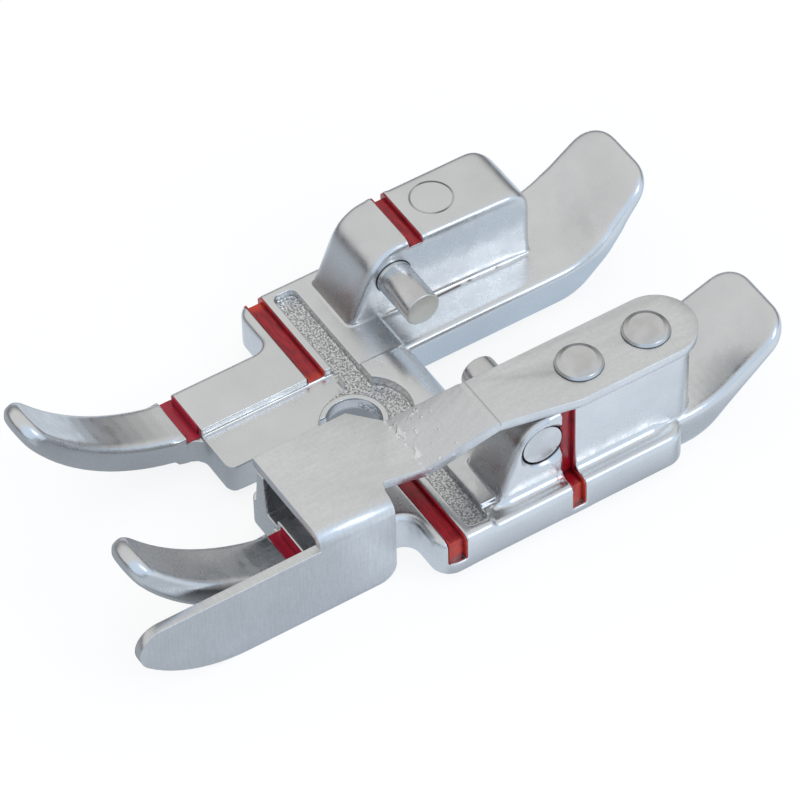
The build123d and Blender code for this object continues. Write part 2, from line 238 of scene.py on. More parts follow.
class FootFinish(PropertyGroup):
    """Colours and roughness of the metals and the enamel."""

    plating: FloatVectorProperty(
        name="Plating",
        description="Colour of the plated casting",
        size=3,
        default=(0.73, 0.735, 0.735),
        subtype="COLOR",
    )
    plating_rough: FloatProperty(
        name="Plating roughness",
        description="How satin the plating is",
        default=0.28,
        subtype="FACTOR",
    )
    sheet: FloatVectorProperty(
        name="Guide sheet",
        description="Colour of the guide",
        size=3,
        default=(0.77, 0.775, 0.775),
        subtype="COLOR",
    )
    sheet_rough: FloatProperty(
        name="Sheet roughness",
        description="How dull the brushed sheet is",
        default=0.34,
        subtype="FACTOR",
    )
    steel: FloatVectorProperty(
        name="Pin steel",
        description="Colour of pins and rivets",
        size=3,
        default=(0.65, 0.65, 0.645),
        subtype="COLOR",
    )
    enamel: FloatVectorProperty(
        name="Enamel",
        description="Colour of the red marks",
        size=3,
        default=(0.40, 0.008, 0.018),
        subtype="COLOR",
    )
    enamel_glow: FloatVectorProperty(
        name="Thin enamel",
        description="Colour of thin enamel",
        size=3,
        default=(0.72, 0.06, 0.02),
        subtype="COLOR",
    )
    # Painted shade: a dark colour laid into gaps, narrow corners and at the foot of the rivet heads, where
    # shade falls
    painted_shade: FloatVectorProperty(
        name="Painted shade",
        description="Colour in the narrow gaps",
        size=3,
        default=(0.02, 0.02, 0.022),
        subtype="COLOR",
    )
    stain: FloatVectorProperty(
        name="Stain",
        description="Colour of the stain at a block's foot",
        size=3,
        default=(0.12, 0.06, 0.03),
        subtype="COLOR",
    )


class FootStage(PropertyGroup):
    """Viewpoint, floor and light."""

    azimuth: FloatProperty(
        name="Azimuth",
        description="Camera turn",
        default=math.radians(58.684),
        subtype="ANGLE",
    )
    elevation: FloatProperty(
        name="Elevation",
        description="Camera rise",
        default=math.radians(48.008),
        subtype="ANGLE",
    )
    roll: FloatProperty(
        name="Roll",
        description="Camera tilt",
        default=math.radians(-1.622),
        subtype="ANGLE",
    )
    distance: FloatProperty(
        name="Distance",
        description="Camera to target",
        default=240.003 * MM,
        unit="LENGTH",
    )
    target: FloatVectorProperty(
        name="Target",
        description="Point the camera looks at",
        size=3,
        default=(0.044 * MM, 2.393 * MM, 2.0 * MM),
        unit="LENGTH",
    )
    lens: FloatProperty(
        name="Lens",
        description="Focal length in millimetres",
        default=241.566,
    )
    floor: FloatVectorProperty(
        name="Floor",
        description="Colour of the floor",
        size=3,
        default=(1.0, 1.0, 1.0),
        subtype="COLOR",
    )
    floor_cool: FloatVectorProperty(
        name="Floor in metal",
        description="Tint of the floor in the metal",
        size=3,
        default=(0.79, 0.885, 1.0),
        subtype="COLOR",
    )
    floor_blue: FloatVectorProperty(
        name="Floor in the gap",
        description="Tint between the bars",
        size=3,
        default=(0.70, 0.86, 1.05),
        subtype="COLOR",
    )
    floor_glow: FloatProperty(
        name="Floor white",
        description="Share of the floor's white that no shadow takes away",
        default=0.82,
        subtype="FACTOR",
    )
    floor_front: FloatProperty(
        name="Floor front",
        description="Share of that white in the metal at the front",
        default=0.36,
        subtype="FACTOR",
    )
    sky: FloatVectorProperty(
        name="Room",
        description="Light of the room overhead",
        size=3,
        default=(0.76, 0.765, 0.76),
        subtype="COLOR",
    )
    window: FloatVectorProperty(
        name="Window",
        description="Cool light of the room on the right",
        size=3,
        default=(0.74, 0.88, 1.06),
        subtype="COLOR",
    )
    front: FloatVectorProperty(
        name="Front",
        description="Light of the room at the front",
        size=3,
        default=(0.76, 0.76, 0.765),
        subtype="COLOR",
    )
    lamp_place: FloatVectorProperty(
        name="Soft box place",
        description="Middle of the soft box",
        size=3,
        default=(0.342, 0.160, 0.263),
        unit="LENGTH",
    )
    lamp_size: FloatProperty(
        name="Soft box size",
        description="Width of the soft box",
        default=0.16,
        unit="LENGTH",
    )
    lamp_power: FloatProperty(
        name="Soft box power",
        description="Power of the soft box",
        default=0.16,
        unit="POWER",
    )
    horizon: FloatVectorProperty(
        name="Horizon",
        description="Dark low band of the room",
        size=3,
        default=(0.12, 0.115, 0.125),
        subtype="COLOR",
    )


def settings():
    """The add-on's shape, finish and stage settings."""
    scene = bpy.context.scene
    return scene.presser_foot_shape, scene.presser_foot_finish, scene.presser_foot_stage


class Nodes:
    """Lays out the node tree of a material or the world."""

    def __init__(self, owner, shader="Principled BSDF", coordinates="Object"):
        owner.use_nodes = True
        self.owner = owner
        self.tree = owner.node_tree
        self.shader = self.tree.nodes[shader]
        self.place = self.add("ShaderNodeTexCoord").outputs[coordinates]
        parts = self.add("ShaderNodeSeparateXYZ")
        self.link(self.place, parts.inputs["Vector"])
        self.axes = {axis: parts.outputs[axis] for axis in "XYZ"}

    def add(self, kind, **values):
        """A new node; its properties and inputs are set by name."""
        node = self.tree.nodes.new(kind)
        for key, value in values.items():
            if key in node.bl_rna.properties:
                setattr(node, key, value)
            else:
                node.inputs[key.replace("_", " ")].default_value = value
        return node

    def link(self, source, target):
        self.tree.links.new(source, target)

    def feed(self, value, socket):
        """Links a socket, or sets a number or colour on it."""
        if isinstance(value, bpy.types.NodeSocket):
            self.link(value, socket)
        elif socket.type == "RGBA":
            socket.default_value = (*value[:3], 1.0)
        else:
            socket.default_value = value

    def set(self, **values):
        """Sets the shader's sockets, to a constant or to another node's output."""
        for key, value in values.items():
            self.feed(value, self.shader.inputs[key.replace("_", " ")])

    def maths(self, operation, *values):
        """Result of a Math node on sockets or numbers."""
        node = self.add("ShaderNodeMath", operation=operation)
        for socket, value in zip(node.inputs, values):
            self.feed(value, socket)
        return node.outputs["Value"]

    def both(self, *masks):
        """Mask where all of several masks are 1."""
        result = masks[0]
        for mask in masks[1:]:
            result = self.maths("MULTIPLY", result, mask)
        return result

    def either(self, first, second):
        """Mask where one of two masks is 1."""
        return self.maths("MAXIMUM", first, second)

    def beside(self, axis):
        """Distance from the middle along an axis, on either side."""
        return self.maths("ABSOLUTE", self.axes[axis])

    def ramp(self, value, start, end, low=0.0, high=1.0):
        """A value that runs smoothly from low to high between start and end."""
        node = self.add("ShaderNodeMapRange", interpolation_type="SMOOTHSTEP")
        self.link(value, node.inputs["Value"])
        for name, number in (("From Min", start), ("From Max", end), ("To Min", low), ("To Max", high)):
            node.inputs[name].default_value = number
        return node.outputs["Result"]

    def between(self, axis, start, end, soft):
        """Mask that is 1 between two places on an axis."""
        rise = self.ramp(self.axes[axis], start - soft, start + soft)
        fall = self.ramp(self.axes[axis], end - soft, end + soft, 1.0, 0.0)
        return self.both(rise, fall)

    def near(self, centre, radius, soft):
        """Mask that is 1 around a point."""
        node = self.add("ShaderNodeVectorMath", operation="DISTANCE")
        self.link(self.place, node.inputs[0])
        node.inputs[1].default_value = centre
        return self.ramp(node.outputs["Value"], radius - soft, radius + soft, 1.0, 0.0)

    def reach(self, axis, first, second):
        """Distance from a line along an axis, given its place on the other two."""
        squares = []
        for name, middle in zip([name for name in "XYZ" if name != axis], (first, second)):
            off = self.maths("SUBTRACT", self.axes[name], middle)
            squares.append(self.maths("MULTIPLY", off, off))
        return self.maths("SQRT", self.maths("ADD", *squares))

    def ring(self, reach, radius, soft):
        """Mask of a thin ring at a radius."""
        off = self.maths("ABSOLUTE", self.maths("SUBTRACT", reach, radius))
        return self.ramp(off, 0.3 * soft, soft, 1.0, 0.0)

    def noise(self, scale, detail=2.0, stretch=(1.0, 1.0, 1.0), rough=0.5):
        """Noise on object coordinates; stretch multiplies each axis."""
        shift = self.add("ShaderNodeMapping")
        shift.inputs["Scale"].default_value = stretch
        self.link(self.place, shift.inputs["Vector"])
        node = self.add("ShaderNodeTexNoise", Scale=scale, Detail=detail, Roughness=rough)
        self.link(shift.outputs["Vector"], node.inputs["Vector"])
        return node.outputs["Fac"]

    def cavity(self, distance, start, end):
        """Mask of narrow corners that little light gets into."""
        node = self.add("ShaderNodeAmbientOcclusion", samples=16, Distance=distance)
        return self.ramp(node.outputs["AO"], start, end, 1.0, 0.0)

    def mix(self, mask, first, second):
        """Colour between two colours or sockets."""
        node = self.add("ShaderNodeMix", data_type="RGBA")
        self.feed(mask, node.inputs[0])
        self.feed(first, node.inputs[6])
        self.feed(second, node.inputs[7])
        return node.outputs[2]

    def shades(self, mask, colour, low, high):
        """A colour that varies between a darker and a lighter shade."""
        return self.mix(mask, [low * c for c in colour], [high * c for c in colour])

    def bump(self, *heights):
        """Normal with several (height, strength, depth) layers on each other."""
        normal = None
        for height, strength, depth in heights:
            node = self.add("ShaderNodeBump", Distance=depth)
            self.link(height, node.inputs["Height"])
            self.feed(strength, node.inputs["Strength"])
            if normal:
                self.link(normal, node.inputs["Normal"])
            normal = node.outputs["Normal"]
        return normal


def new_finish(name):
    """Nodes of a new material."""
    return Nodes(bpy.data.materials.new(name))


def plating_material():
    """Satin plating over a cast skin, rougher in the channel and pocket behind the needle."""
    shape, finish, _ = settings()
    nodes = new_finish("satin_plating")
    skin = nodes.noise(1500.0, 3.0)
    fine = nodes.noise(8200.0, 2.0)
    cloud = nodes.noise(260.0, 2.0)
    colour = nodes.shades(nodes.ramp(cloud, 0.3, 0.7), finish.plating, 0.95, 1.04)
    # Grain left unpolished in the channel and the pocket
    channel = nodes.both(
        nodes.between("Y", channel_front, channel_rear, 0.06 * MM),
        nodes.between("X", channel_left, channel_right, 0.06 * MM),
    )
    from_needle = nodes.reach("Z", 0.0, 0.0)
    pocket = nodes.both(
        nodes.near((0.0, pocket_y, recess_top), pocket_radius, 0.1 * MM),
        nodes.ramp(from_needle, rim_radius, rim_radius + 0.05 * MM),
    )
    low = nodes.ramp(nodes.axes["Z"], recess_top + 0.05 * MM, flat_top - 0.15 * MM, 1.0, 0.0)
    high = nodes.ramp(nodes.axes["Z"], recess_top - 0.3 * MM, recess_top - 0.15 * MM)
    raw = nodes.both(nodes.either(channel, pocket), low, high)
    speckle = nodes.shades(nodes.ramp(nodes.noise(10500.0, 2.0), 0.36, 0.64), finish.plating, 0.32, 1.18)
    colour = nodes.mix(nodes.maths("MULTIPLY", raw, 0.85), colour, speckle)
    # Bore of the needle hole, darker deeper down: painted shade inside the hole
    bore_shade = nodes.ramp(from_needle, needle_radius - 0.02 * MM, needle_radius + 0.05 * MM, 0.75, 0.0)
    mouth = nodes.ramp(nodes.axes["Z"], recess_top - 0.3 * MM, recess_top - 0.06 * MM, 1.0, 0.2)
    colour = nodes.mix(nodes.both(bore_shade, mouth), colour, (0.10, 0.10, 0.11))
    # Closed hole in the left block's top
    plug = nodes.reach("Z", plug_x, plug_y)
    plug = nodes.both(
        nodes.ring(plug, plug_radius, 0.07 * MM),
        nodes.ramp(nodes.axes["Z"], block_top - 0.2 * MM, block_top - 0.1 * MM),
        nodes.ramp(nodes.noise(900.0, 1.0), 0.3, 0.6, 0.35, 0.9),
    )
    colour = nodes.mix(plug, colour, (0.10, 0.10, 0.11))
    # Painted shade in the gap around the pins, narrower on the inside
    soft = 0.3 * MM
    edge = nodes.ramp(nodes.beside("X"), hole_middle - soft, hole_middle + soft, shape.pin_radius, pin_shank)
    off = nodes.maths("SUBTRACT", nodes.reach("X", pin_y, pin_z), edge)
    hole = nodes.ramp(off, 0.03 * MM, 0.09 * MM, 0.95, 0.0)
    colour = nodes.mix(hole, colour, finish.painted_shade)
    # Stain and short cracks in the plating at the left block's foot
    crack = nodes.both(
        nodes.between("X", stain_left, stain_right, 0.04 * MM),
        nodes.ramp(nodes.axes["Z"], stain_top - 0.15 * MM, stain_top, 1.0, 0.0),
        nodes.between("Y", stain_front, stain_rear, 0.3 * MM),
        nodes.ramp(nodes.noise(900.0, 2.0, (0.3, 1.0, 0.3)), 0.46, 0.54),
    )
    colour = nodes.mix(nodes.maths("MULTIPLY", crack, 0.85), colour, finish.stain)
    # Darker brown towards the foot of the left block's slope: a painted dark reflection
    slope_shade = nodes.both(
        nodes.ramp(nodes.axes["X"], -block_in_front - 0.1 * MM, -block_in_front + 0.1 * MM, 1.0, 0.0),
        nodes.between("Y", block_foot - 0.2 * MM, block_foot + 1.2 * MM, 0.3 * MM),
        nodes.ramp(nodes.axes["Z"], flat_top + 0.4 * MM, block_top - 1.6 * MM, 0.75, 0.0),
        nodes.ramp(nodes.axes["Z"], flat_top, flat_top + 0.15 * MM),
    )
    colour = nodes.mix(slope_shade, colour, (0.36, 0.31, 0.29))
    # Touches of enamel beside the marks
    left_edge = -inner_face(mark_front, block_rear_left)
    for centre, radius in (
        ((left_edge, mark_front - 0.06 * MM, block_top - 0.25 * MM), 0.16 * MM),
        ((block_right, mark_front - 0.15 * MM, bar_top + 0.2 * MM), 0.2 * MM),
        ((block_right + 0.25 * MM, mark_front - 0.2 * MM, bar_top), 0.22 * MM),
    ):
        patch = nodes.near(centre, radius, 0.8 * radius)
        smear = nodes.both(patch, nodes.ramp(nodes.noise(5200.0, 2.0), 0.45, 0.62))
        colour = nodes.mix(nodes.maths("MULTIPLY", smear, 0.75), colour, finish.enamel)
    # Painted shade in narrow corners
    corner_shade = nodes.maths("MULTIPLY", nodes.cavity(0.4 * MM, 0.25, 0.62), 0.8)
    colour = nodes.mix(corner_shade, colour, finish.painted_shade)
    # The tails are wavier than the rest
    wave = nodes.ramp(nodes.axes["Y"], tail_root - 0.9 * MM, tail_root + 1.1 * MM, 0.04, 0.3)
    rough = nodes.ramp(skin, 0.25, 0.75, finish.plating_rough - 0.05, finish.plating_rough + 0.05)
    nodes.set(
        Metallic=1.0,
        Base_Color=colour,
        Roughness=nodes.maths("MULTIPLY_ADD", raw, 0.04, rough),
        Normal=nodes.bump(
            (plug, 0.4, 0.03 * MM),
            (skin, 0.12, 0.02 * MM),
            (nodes.noise(520.0, 3.0), wave, 0.06 * MM),
            (fine, nodes.maths("MULTIPLY_ADD", raw, 0.7, 0.05), 0.05 * MM),
        ),
    )
    return nodes.owner


def sheet_material():
    """Brushed sheet with fine scratches, its surface torn a little where it is bent."""
    finish = settings()[1]
    nodes = new_finish("brushed_sheet")
    upright = nodes.noise(900.0, 4.0, (1.0, 16.0, 0.7), 0.65)
    across = nodes.noise(700.0, 4.0, (9.0, 0.9, 1.0), 0.6)
    scratch = nodes.noise(420.0, 2.0, (16.0, 3.0, 3.0), 0.7)
    fine = nodes.noise(6500.0, 2.0)
    cloud = nodes.noise(240.0, 2.0)
    tear = nodes.ramp(nodes.noise(3200.0, 2.0), 0.50, 0.57)
    sparse = nodes.ramp(nodes.noise(2800.0, 2.0), 0.63, 0.67)
    torn = nodes.either(
        nodes.both(nodes.between("Y", lower_bend - 0.12 * MM, lower_bend + 0.16 * MM, 0.08 * MM), tear),
        nodes.both(nodes.between("Y", lower_bend, lower_bend + 1.4 * MM, 0.2 * MM), sparse),
    )
    # Painted shade: a dark line along the upper bend
    fold_shade = nodes.both(
        nodes.between("Y", upper_bend - 0.03 * MM, upper_bend + 0.03 * MM, 0.05 * MM),
        nodes.ramp(nodes.axes["Z"], strip_top - 0.25 * MM, strip_top - 0.1 * MM),
    )
    colour = nodes.shades(nodes.ramp(cloud, 0.3, 0.7), finish.sheet, 0.96, 1.03)
    colour = nodes.mix(nodes.ramp(across, 0.3, 0.75, 0.0, 0.12), colour, [0.7 * c for c in finish.sheet])
    colour = nodes.mix(nodes.ramp(fine, 0.3, 0.7, 0.0, 0.22), colour, [0.72 * c for c in finish.sheet])
    blade = nodes.ramp(nodes.axes["Z"], strip_top - 2.4 * MM, strip_top - 2.2 * MM, 1.0, 0.0)
    hair = nodes.both(blade, nodes.ramp(upright, 0.35, 0.7, 0.0, 0.35))
    colour = nodes.mix(hair, colour, [0.72 * c for c in finish.sheet])
    colour = nodes.mix(nodes.ramp(scratch, 0.64, 0.76, 0.0, 0.3), colour, (0.88, 0.88, 0.88))
    colour = nodes.mix(nodes.maths("MULTIPLY", torn, 0.8), colour, (0.95, 0.95, 0.95))
    colour = nodes.mix(nodes.maths("MULTIPLY", fold_shade, 0.55), colour, (0.2, 0.2, 0.21))
    # Painted shade in narrow corners
    colour = nodes.mix(nodes.maths("MULTIPLY", nodes.cavity(0.3 * MM, 0.2, 0.55), 0.7), colour, finish.painted_shade)
    nodes.set(
        Metallic=1.0,
        Base_Color=colour,
        Roughness=nodes.ramp(across, 0.3, 0.7, finish.sheet_rough - 0.06, finish.sheet_rough + 0.06),
        Normal=nodes.bump(
            (across, 0.14, 0.012 * MM),
            (upright, 0.10, 0.012 * MM),
            (fine, 0.10, 0.02 * MM),
            (torn, 0.5, 0.04 * MM),
        ),
    )
    return nodes.owner


def steel_material():
    """Turned steel of the pins, with faint rings around their axis and painted shade in the gap at the
    blocks.
    """
    finish = settings()[1]
    nodes = new_finish("turned_steel")
    rings = nodes.noise(900.0, 3.0, (12.0, 1.0, 1.0))
    cloud = nodes.noise(700.0, 2.0)
    colour = nodes.shades(nodes.ramp(cloud, 0.3, 0.7), finish.steel, 0.94, 1.08)
    tip = nodes.ramp(nodes.beside("X"), pin_tip + 0.02 * MM, pin_tip + 0.06 * MM, 1.0, 0.0)
    colour = nodes.mix(nodes.maths("MULTIPLY", tip, 0.85), colour, (0.74, 0.68, 0.58))
    # Painted shade where the pin enters its block and in narrow corners
    rim = nodes.ring(nodes.reach("X", pin_y, pin_z), pin_shank, 0.07 * MM)
    colour = nodes.mix(nodes.either(rim, nodes.cavity(0.3 * MM, 0.3, 0.6)), colour, finish.painted_shade)
    nodes.set(
        Metallic=1.0,
        Base_Color=colour,
        Roughness=nodes.maths("MULTIPLY_ADD", tip, 0.2, nodes.ramp(rings, 0.3, 0.7, 0.18, 0.3)),
        Normal=nodes.bump((rings, 0.12, 0.01 * MM)),
    )
    return nodes.owner


def rivet_material():
    """Satin steel of the rivets, a little worn on top."""
    finish = settings()[1]
    nodes = new_finish("rivet_steel")
    wear = nodes.noise(1300.0, 3.0)
    colour = nodes.shades(nodes.ramp(wear, 0.3, 0.7), finish.steel, 0.92, 1.06)
    # Painted shade at the foot of each head, where it sits on the sheet
    brim_shade = nodes.ramp(nodes.axes["Z"], strip_top + 0.02 * MM, strip_top + 0.08 * MM, 0.9, 0.0)
    colour = nodes.mix(brim_shade, colour, finish.painted_shade)
    nodes.set(
        Metallic=1.0,
        Base_Color=colour,
        Roughness=nodes.ramp(wear, 0.3, 0.7, 0.22, 0.34),
        Normal=nodes.bump((wear, 0.15, 0.02 * MM), (nodes.noise(6000.0, 2.0), 0.12, 0.01 * MM)),
    )
    return nodes.owner


def enamel_material():
    """Glossy red enamel, orange where it runs thin over the rounded ends."""
    finish = settings()[1]
    nodes = new_finish("red_enamel")
    side = nodes.ramp(nodes.beside("X"), rim_start, rim_end)
    inner = nodes.both(
        nodes.between("Y", -needle_mark_half, needle_mark_half, 0.05 * MM),
        nodes.ramp(nodes.beside("X"), strip_half, strip_half + 0.55 * MM, 1.0, 0.0),
    )
    thin = nodes.both(nodes.either(side, inner), nodes.ramp(nodes.noise(1500.0, 2.0), 0.3, 0.6))
    streak = nodes.noise(1500.0, 3.0, (1.0, 4.0, 1.0))
    colour = nodes.shades(nodes.ramp(streak, 0.3, 0.7), finish.enamel, 0.65, 1.2)
    colour = nodes.mix(nodes.maths("MULTIPLY", thin, 0.8), colour, finish.enamel_glow)
    # Painted sheen: the front marks are a brighter red, standing in for the highlights on their rounded fill
    front = nodes.ramp(nodes.axes["Y"], front_marks_end, front_marks_end + 0.3 * MM, 0.6, 0.0)
    colour = nodes.mix(front, colour, (0.55, 0.02, 0.06))
    # Painted shade in the grooves' narrow corners
    deep_shade = nodes.cavity(0.35 * MM, 0.35, 0.75)
    colour = nodes.mix(nodes.maths("MULTIPLY", deep_shade, 0.75), colour, [0.15 * c for c in finish.enamel])
    nodes.set(
        Base_Color=colour,
        Roughness=0.28,
        Specular_IOR_Level=0.35,
        Coat_Weight=0.25,
        Coat_Roughness=0.08,
        Normal=nodes.bump((nodes.noise(2400.0, 2.0), 0.25, 0.03 * MM)),
    )
    return nodes.owner


def new_piece(name, mesh):
    """An object at the origin for a finished mesh."""
    piece = bpy.data.objects.new(name, mesh)
    bpy.context.scene.collection.objects.link(piece)
    return piece


def merged_copy(node, name):
    """A new object with a CAD node's mesh, its doubled corners merged."""
    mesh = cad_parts[node].data.copy()
    mesh.name = name
    form = bmesh.new()
    form.from_mesh(mesh)
    bmesh.ops.remove_doubles(form, verts=form.verts, dist=0.0005 * MM)
    form.to_mesh(mesh)
    form.free()
    mesh.materials.clear()
    return new_piece(name, mesh)


def soften(piece, width, segments=2):
    """Rounds a piece's sharp edges, with its flats kept flat."""
    form = bmesh.new()
    form.from_mesh(piece.data)
    bmesh.ops.dissolve_limit(form, angle_limit=math.radians(1.0), verts=form.verts, edges=form.edges)
    form.to_mesh(piece.data)
    form.free()
    bevel = piece.modifiers.new("Soft edges", "BEVEL")
    bevel.width = width
    bevel.segments = segments
    bevel.limit_method = "ANGLE"
    bevel.angle_limit = math.radians(24.0)
    bevel.harden_normals = True


def settle(piece, material):
    """Turns a piece's modifiers into its plain mesh and gives it its material."""
    bpy.context.view_layer.update()
    for face in piece.data.polygons:
        face.use_smooth = True
    evaluated = piece.evaluated_get(bpy.context.evaluated_depsgraph_get())
    made = bpy.data.meshes.new_from_object(evaluated)
    piece.modifiers.clear()
    piece.data = made
    made.materials.clear()
    if material:
        made.materials.append(material)


def hand_over(piece, node):
    """Hangs a piece under the root body and hides the CAD node that it replaces."""
    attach(piece, "root")
    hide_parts(node)


def rivet_tree(material):
    """Geometry nodes that set a turned rivet on each point; gives the tree and its inputs' identifiers."""
    tree = bpy.data.node_groups.new("rivet_row", "GeometryNodeTree")
    tree.interface.new_socket("Places", in_out="INPUT", socket_type="NodeSocketGeometry")
    keys = {}
    for name in ("Flat Radius", "Brow Radius", "Head Radius", "Head Height", "Shank Radius", "Shank Length"):
        keys[name] = tree.interface.new_socket(name, in_out="INPUT", socket_type="NodeSocketFloat").identifier
    tree.interface.new_socket("Rivets", in_out="OUTPUT", socket_type="NodeSocketGeometry")
    given = tree.nodes.new("NodeGroupInput").outputs
    link = tree.links.new
    sides = 72
    brow_share = 0.6  # of the head's height

    def share(source, factor):
        """A length times a number."""
        node = tree.nodes.new("ShaderNodeMath")
        node.operation = "MULTIPLY"
        link(source, node.inputs[0])
        node.inputs[1].default_value = factor
        return node.outputs["Value"]

    def lifted(mesh, height):
        """A mesh moved up."""
        place = tree.nodes.new("ShaderNodeCombineXYZ")
        link(height, place.inputs["Z"])
        node = tree.nodes.new("GeometryNodeTransform")
        link(mesh, node.inputs["Geometry"])
        link(place.outputs["Vector"], node.inputs["Translation"])
        return node.outputs["Geometry"]

    def band(top, bottom, depth=None):
        """A turned band between two radii; flat where it has no depth."""
        node = tree.nodes.new("GeometryNodeMeshCone")
        node.fill_type = "NONE"
        node.inputs["Vertices"].default_value = sides
        link(top, node.inputs["Radius Top"])
        link(bottom, node.inputs["Radius Bottom"])
        node.inputs["Depth"].default_value = 0.0
        if depth:
            link(depth, node.inputs["Depth"])
        return node.outputs["Mesh"]

    def disc(radius):
        """A round end."""
        node = tree.nodes.new("GeometryNodeMeshCircle")
        node.fill_type = "NGON"
        node.inputs["Vertices"].default_value = sides
        link(radius, node.inputs["Radius"])
        return node.outputs["Mesh"]

    brow = share(given["Head Height"], brow_share)
    crown = share(given["Head Height"], 1.0 - brow_share)
    down = share(given["Shank Length"], -1.0)
    join = tree.nodes.new("GeometryNodeJoinGeometry")
    for part in (
        lifted(disc(given["Flat Radius"]), given["Head Height"]),
        lifted(band(given["Flat Radius"], given["Brow Radius"], crown), brow),
        band(given["Brow Radius"], given["Head Radius"], brow),
        band(given["Shank Radius"], given["Head Radius"]),
        lifted(band(given["Shank Radius"], given["Shank Radius"], given["Shank Length"]), down),
        lifted(disc(given["Shank Radius"]), down),
    ):
        link(part, join.inputs["Geometry"])
    merge = tree.nodes.new("GeometryNodeMergeByDistance")
    merge.inputs["Distance"].default_value = 0.0005 * MM
    spread = tree.nodes.new("GeometryNodeInstanceOnPoints")
    realize = tree.nodes.new("GeometryNodeRealizeInstances")
    paint = tree.nodes.new("GeometryNodeSetMaterial")
    paint.inputs["Material"].default_value = material
    link(join.outputs["Geometry"], merge.inputs["Geometry"])
    link(given["Places"], spread.inputs["Points"])
    link(merge.outputs["Geometry"], spread.inputs["Instance"])
    link(spread.outputs["Instances"], realize.inputs["Geometry"])
    link(realize.outputs["Geometry"], paint.inputs["Geometry"])
    link(paint.outputs["Geometry"], tree.nodes.new("NodeGroupOutput").inputs["Rivets"])
    return tree, keys


